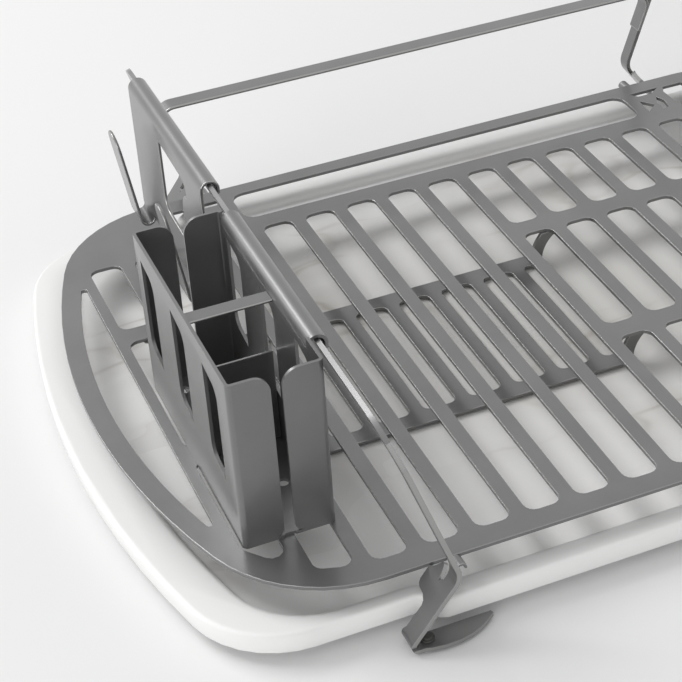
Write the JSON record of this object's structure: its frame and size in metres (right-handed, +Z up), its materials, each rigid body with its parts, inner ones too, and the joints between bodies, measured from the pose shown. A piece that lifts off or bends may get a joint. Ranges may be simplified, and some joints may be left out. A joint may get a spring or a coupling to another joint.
{
  "type": "dish drying rack",
  "caption": "Slotted sheet-steel dish drying rack with arched side frames over a bowed mineral drip tray, with hang-on utensil caddy and cup holder.",
  "frame": {"origin": "on the counter, under the middle of the plate", "axes": "+X along the rack's length away from the caddy end, +Y to the rail side (back), +Z up"},
  "size_m": [0.516, 0.3712, 0.1165],
  "materials": {
    "powder_coated_steel": "satin",
    "mineral_stone": "matte",
    "grey_rubber": "matte"
  },
  "bodies": {
    "tray": {"stone_tray": "mineral_stone", "tray_pads": "grey_rubber"},
    "rack": {"rack_plate": "powder_coated_steel", "lower_grid": "powder_coated_steel", "grid_hanger_left_front": "powder_coated_steel", "grid_hanger_left_back": "powder_coated_steel", "grid_hanger_right_front": "powder_coated_steel", "grid_hanger_right_back": "powder_coated_steel", "side_frame_left": "powder_coated_steel", "side_frame_right": "powder_coated_steel", "edge_curl_left_front": "powder_coated_steel", "edge_curl_left_back": "powder_coated_steel", "edge_curl_right_front": "powder_coated_steel", "edge_curl_right_back": "powder_coated_steel", "foot_pad_left_front": "grey_rubber", "foot_pad_left_back": "grey_rubber", "foot_pad_right_front": "grey_rubber", "foot_pad_right_back": "grey_rubber", "back_rail": "powder_coated_steel"},
    "caddy": {"caddy_shell": "powder_coated_steel", "caddy_divider": "powder_coated_steel", "caddy_cross_panel": "powder_coated_steel"},
    "cup_holder": {"cup_holder": "powder_coated_steel"}
  },
  "joints": [
    {"name": "rack_lift", "type": "slide", "parent": "tray", "child": "rack", "axis": [0, 0, 1], "range_m": [0, 0.06]},
    {"name": "caddy_lift", "type": "slide", "parent": "rack", "child": "caddy", "axis": [0, 0, 1], "range_m": [0, 0.09]},
    {"name": "cup_holder_lift", "type": "slide", "parent": "rack", "child": "cup_holder", "axis": [0, 0, 1], "range_m": [0, 0.08]}
  ]
}
